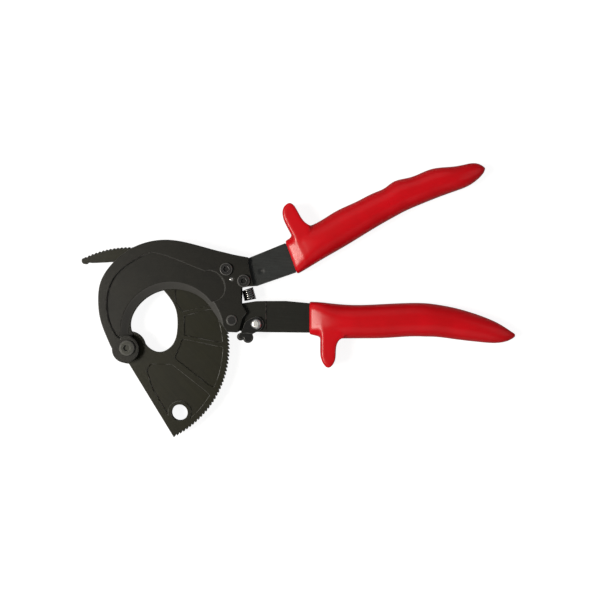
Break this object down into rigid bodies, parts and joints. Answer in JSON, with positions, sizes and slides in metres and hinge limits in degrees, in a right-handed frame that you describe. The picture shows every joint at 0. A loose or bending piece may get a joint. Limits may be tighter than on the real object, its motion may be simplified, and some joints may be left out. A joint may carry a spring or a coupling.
{
  "type": "cable cutter",
  "caption": "Ratchet cable cutter with hooked fixed jaw, toothed sector blade, two red dipped handles, pawls, return spring and release lever.",
  "frame": {"origin": "middle of the tool's base, lying flat with the jaw's face up", "axes": "+X from the jaw towards the handles' ends, +Y from the moving handle to the fixed handle, +Z out of the jaw's face"},
  "size_m": [0.2773, 0.175, 0.0227],
  "materials": {
    "black_forged_steel": "blackened forged steel, satin",
    "black_plate_steel": "blackened plate, satin",
    "black_blade_steel": "blackened ground blade steel",
    "bronze": "sintered bronze",
    "black_bolt_steel": "black oxide bolt, worn on its rim",
    "zinc_steel": "zinc plated",
    "black_screw_steel": "black oxide socket screw",
    "bright_steel": "ground steel",
    "spring_steel": "oiled spring steel",
    "hardened_steel": "hardened steel",
    "black_bar_steel": "blackened bar, satin",
    "zinc_rivet": "bright zinc",
    "black_lever_steel": "blackened lever",
    "red_vinyl": "dipped red vinyl, glossy"
  },
  "bodies": {
    "frame": {"fixed_jaw": "black_forged_steel", "back_plate": "black_plate_steel", "blade_pivot_bolt": "black_bolt_steel", "blade_pivot_washer": "zinc_steel", "blade_pivot_nut": "zinc_steel", "frame_screws": "black_screw_steel", "frame_dowel": "bright_steel", "handle_pivot_pin": "black_bolt_steel", "handle_pivot_circlip": "spring_steel", "holding_pawl_pin": "bright_steel", "holding_pawl_spring": "spring_steel", "fixed_handle_bar": "black_bar_steel", "fixed_handle_grip": "red_vinyl"},
    "blade": {"moving_blade": "black_blade_steel", "blade_bush": "bronze"},
    "moving_handle": {"moving_handle_bar": "black_bar_steel", "moving_handle_grip": "red_vinyl", "drive_pawl_rivet": "zinc_rivet", "drive_pawl_spring": "spring_steel", "handle_return_spring": "spring_steel"},
    "drive_pawl": {"drive_pawl": "hardened_steel"},
    "holding_pawl": {"holding_pawl": "hardened_steel"},
    "release_lever": {"release_lever": "black_lever_steel"}
  },
  "joints": [
    {"name": "blade_pivot", "type": "hinge", "parent": "frame", "child": "blade", "pos_m": [-0.1089, -0.0308, 0.0112], "axis": [0, 0, 1], "range_deg": [-140.12, 97.01]},
    {"name": "handle_pivot", "type": "hinge", "parent": "frame", "child": "moving_handle", "pos_m": [-0.043, -0.0133, 0.0112], "axis": [0, 0, 1], "range_deg": [0, 20], "stiffness_Nm_per_rad": 1, "springref_deg": -17.19, "deforming": ["handle_return_spring"]},
    {"name": "drive_pawl_pivot", "type": "hinge", "parent": "moving_handle", "child": "drive_pawl", "pos_m": [-0.0276, -0.0157, 0.0112], "axis": [0, 0, 1], "range_deg": [-14.8, 0], "deforming": ["drive_pawl_spring"]},
    {"name": "holding_pawl_pivot", "type": "hinge", "parent": "frame", "child": "holding_pawl", "pos_m": [-0.0581, 0.0266, 0.0112], "axis": [0, 0, -1], "range_deg": [-3.2, 8], "deforming": ["holding_pawl_spring"]},
    {"name": "release_lever_pivot", "type": "hinge", "parent": "moving_handle", "child": "release_lever", "pos_m": [-0.0276, -0.0157, 0.0112], "axis": [0, 0, -1], "range_deg": [0, 4.5], "stiffness_Nm_per_rad": 0.05, "springref_deg": -11.46}
  ],
  "couplings": [
    {"joint": "drive_pawl_pivot", "follows": "handle_pivot", "ratio": -0.74}
  ]
}
